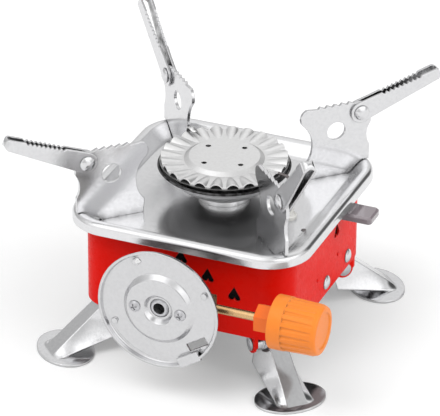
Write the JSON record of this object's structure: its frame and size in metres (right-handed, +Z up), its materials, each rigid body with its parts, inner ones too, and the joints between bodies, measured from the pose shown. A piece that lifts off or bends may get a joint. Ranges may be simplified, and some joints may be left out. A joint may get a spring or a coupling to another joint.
{
  "type": "camping gas burner",
  "caption": "Folding camping gas burner: red sheet box on hinged legs, steel drip tray, hinged toothed pot arms, crimped burner head, gas connector disc, valve knob and spark button.",
  "frame": {"origin": "on the ground, under the burner's axis", "axes": "+Z up along the burner's axis, -Y out of the front towards the gas canister, +X towards the knob and the spark button"},
  "size_m": [0.1178, 0.1196, 0.0979],
  "materials": {
    "red_paint": "gloss",
    "bright_steel": "polished",
    "zinc_steel": "satin",
    "brass": "satin",
    "copper": "satin",
    "orange_plastic": "satin",
    "dark_plastic": "satin",
    "black_rubber": "matte",
    "white_ceramic": "gloss"
  },
  "bodies": {
    "base": {"body_shell": "red_paint", "drip_tray": "bright_steel", "burner_cup": "bright_steel", "burner_cap": "bright_steel", "connector_disc": "bright_steel", "arm_rivets": "bright_steel", "leg_pins": "bright_steel", "side_rivets": "bright_steel", "disc_screws": "bright_steel", "burner_nut": "bright_steel", "pot_bracket_front_left": "bright_steel", "pot_bracket_rear_left": "bright_steel", "pot_bracket_rear_right": "bright_steel", "pot_bracket_front_right": "bright_steel", "igniter_yoke": "zinc_steel", "tube_nut": "zinc_steel", "mixing_tube": "zinc_steel", "valve_nut": "zinc_steel", "electrode_pin": "zinc_steel", "gas_port": "zinc_steel", "valve_body": "brass", "gland_nut": "brass", "jet_holder": "brass", "gas_jet": "brass", "port_pin": "brass", "gas_pipe": "copper", "piezo_igniter": "dark_plastic", "port_seal": "black_rubber", "spindle_seal": "black_rubber", "ignition_lead": "black_rubber", "electrode_insulator": "white_ceramic"},
    "arm_front_left": {"pot_arm_front_left": "bright_steel"},
    "arm_rear_left": {"pot_arm_rear_left": "bright_steel"},
    "arm_rear_right": {"pot_arm_rear_right": "bright_steel"},
    "arm_front_right": {"pot_arm_front_right": "bright_steel"},
    "foot_front_left": {"leg_front_left": "bright_steel"},
    "foot_rear_left": {"leg_rear_left": "bright_steel"},
    "foot_rear_right": {"leg_rear_right": "bright_steel"},
    "foot_front_right": {"leg_front_right": "bright_steel"},
    "knob": {"control_knob": "orange_plastic", "valve_spindle": "brass"},
    "button": {"igniter_button": "dark_plastic"}
  },
  "joints": [
    {"name": "arm_hinge_front_left", "type": "hinge", "parent": "base", "child": "arm_front_left", "pos_m": [-0.03648, -0.03648, 0.07306], "axis": [-0.7071, 0.7071, 0], "range_deg": [-20.5, 154]},
    {"name": "arm_hinge_rear_left", "type": "hinge", "parent": "base", "child": "arm_rear_left", "pos_m": [-0.03648, 0.03648, 0.07306], "axis": [0.7071, 0.7071, 0], "range_deg": [-34.5, 140]},
    {"name": "arm_hinge_rear_right", "type": "hinge", "parent": "base", "child": "arm_rear_right", "pos_m": [0.03648, 0.03648, 0.07306], "axis": [0.7071, -0.7071, 0], "range_deg": [-16, 158.5]},
    {"name": "arm_hinge_front_right", "type": "hinge", "parent": "base", "child": "arm_front_right", "pos_m": [0.03648, -0.03648, 0.07306], "axis": [-0.7071, -0.7071, 0], "range_deg": [-45.5, 129]},
    {"name": "leg_hinge_front_left", "type": "hinge", "parent": "base", "child": "foot_front_left", "pos_m": [-0.03069, -0.03069, 0.0148], "axis": [0.7071, -0.7071, 0], "range_deg": [0, 151]},
    {"name": "leg_hinge_rear_left", "type": "hinge", "parent": "base", "child": "foot_rear_left", "pos_m": [-0.03069, 0.03069, 0.0148], "axis": [-0.7071, -0.7071, 0], "range_deg": [0, 151]},
    {"name": "leg_hinge_rear_right", "type": "hinge", "parent": "base", "child": "foot_rear_right", "pos_m": [0.03069, 0.03069, 0.0148], "axis": [-0.7071, 0.7071, 0], "range_deg": [0, 151]},
    {"name": "leg_hinge_front_right", "type": "hinge", "parent": "base", "child": "foot_front_right", "pos_m": [0.03069, -0.03069, 0.0148], "axis": [0.7071, 0.7071, 0], "range_deg": [0, 151]},
    {"name": "knob_turn", "type": "hinge", "parent": "base", "child": "knob", "pos_m": [0.03, -0.05, 0.0344], "axis": [1, 0, 0], "range_deg": [0, 540]},
    {"name": "button_press", "type": "slide", "parent": "base", "child": "button", "axis": [-1, 0, 0], "range_m": [0, 0.0036], "stiffness_N_per_m": 800, "springref_m": -0.002}
  ]
}
